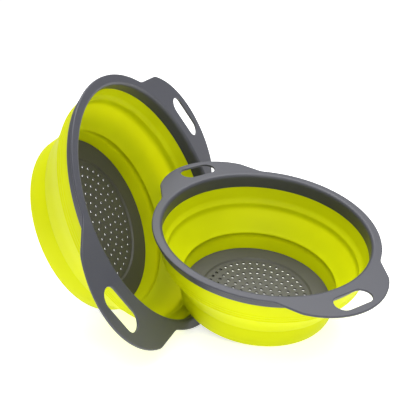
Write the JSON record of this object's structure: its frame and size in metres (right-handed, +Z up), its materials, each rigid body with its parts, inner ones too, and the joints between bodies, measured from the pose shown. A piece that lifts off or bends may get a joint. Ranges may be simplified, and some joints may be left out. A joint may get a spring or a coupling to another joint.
{
  "type": "collapsible colander set",
  "caption": "Two nesting round colanders with folding silicone walls, slotted side handles and perforated plates, one lying on its side and one leaning in its mouth",
  "frame": {"origin": "middle of the bounding box, on the surface that the set stands on", "axes": "+Z up; +X along the longest side, from the large colander lying on its side to the small one leaning in its mouth"},
  "size_m": [0.3026, 0.2832, 0.2129],
  "materials": {
    "rim_polypropylene": "fine matte moulded",
    "plate_polypropylene": "fine matte moulded",
    "wall_silicone": "satin moulded"
  },
  "bodies": {
    "large_rim": {"large_rim_frame": "rim_polypropylene", "large_rim_clamp_ring": "rim_polypropylene", "large_wall_upper_band": "wall_silicone"},
    "large_fold": {"large_wall_fold_band": "wall_silicone"},
    "large_base": {"large_wall_lower_band": "wall_silicone", "large_strainer_plate": "plate_polypropylene", "large_base_clamp_ring": "plate_polypropylene"},
    "small_rim": {"small_rim_frame": "rim_polypropylene", "small_rim_clamp_ring": "rim_polypropylene", "small_wall_upper_band": "wall_silicone"},
    "small_fold": {"small_wall_fold_band": "wall_silicone"},
    "small_base": {"small_wall_lower_band": "wall_silicone", "small_strainer_plate": "plate_polypropylene", "small_base_clamp_ring": "plate_polypropylene"}
  },
  "joints": [
    {"name": "small_lift_off", "type": "slide", "parent": "large_base", "child": "small_rim", "axis": [0.8492, -0.3141, 0.4246], "range_m": [0, 0.2]},
    {"name": "small_collapse", "type": "slide", "parent": "small_rim", "child": "small_base", "axis": [0.0841, -0.2071, 0.9747], "range_m": [0, 0.04]},
    {"name": "small_fold", "type": "slide", "parent": "small_rim", "child": "small_fold", "axis": [0.0841, -0.2071, 0.9747], "range_m": [0, 0.02]},
    {"name": "large_collapse", "type": "slide", "parent": "large_rim", "child": "large_base", "axis": [0.8492, -0.3141, 0.4246], "range_m": [0, 0.04]},
    {"name": "large_fold", "type": "slide", "parent": "large_rim", "child": "large_fold", "axis": [0.8492, -0.3141, 0.4246], "range_m": [0, 0.02]}
  ],
  "couplings": [
    {"joint": "small_fold", "follows": "small_collapse", "ratio": 0.5},
    {"joint": "large_fold", "follows": "large_collapse", "ratio": 0.5}
  ]
}
